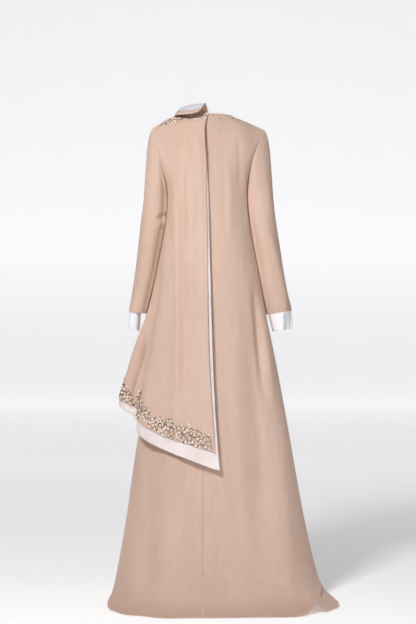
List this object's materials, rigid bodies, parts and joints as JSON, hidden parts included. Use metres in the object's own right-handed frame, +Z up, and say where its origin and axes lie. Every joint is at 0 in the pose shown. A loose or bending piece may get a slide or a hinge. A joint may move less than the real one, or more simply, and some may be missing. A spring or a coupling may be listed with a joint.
{
  "type": "long-sleeved kaftan with a half cape and sweep train",
  "caption": "Floor-length blush crepe kaftan with narrow sleeves, white cuffs, a spread half collar, a beaded two-layer cape over the left back and a short sweep train.",
  "frame": {"origin": "middle of the neck at the height of the neck points, where the wearer's shoulders carry the kaftan", "axes": "+Z up, the front faces -Y and the train lies towards +Y, +X is the garment's own left"},
  "size_m": [0.7422, 0.661, 1.6301],
  "materials": {
    "blush_crepe": "matte",
    "white_satin": "soft sheen",
    "beaded_trim": "pearly"
  },
  "bodies": {
    "root": {"gown_front": "blush_crepe", "gown_back_left": "blush_crepe", "gown_back_right": "blush_crepe", "sleeve_left": "blush_crepe", "sleeve_right": "blush_crepe", "cuff_left": "white_satin", "cuff_right": "white_satin", "cape_underlayer": "white_satin", "cape": "blush_crepe", "cape_hem_beads": "beaded_trim", "neck_beads": "beaded_trim", "collar_stand": "beaded_trim", "collar_fall": "white_satin", "collar_facing": "blush_crepe"}
  },
  "joints": []
}
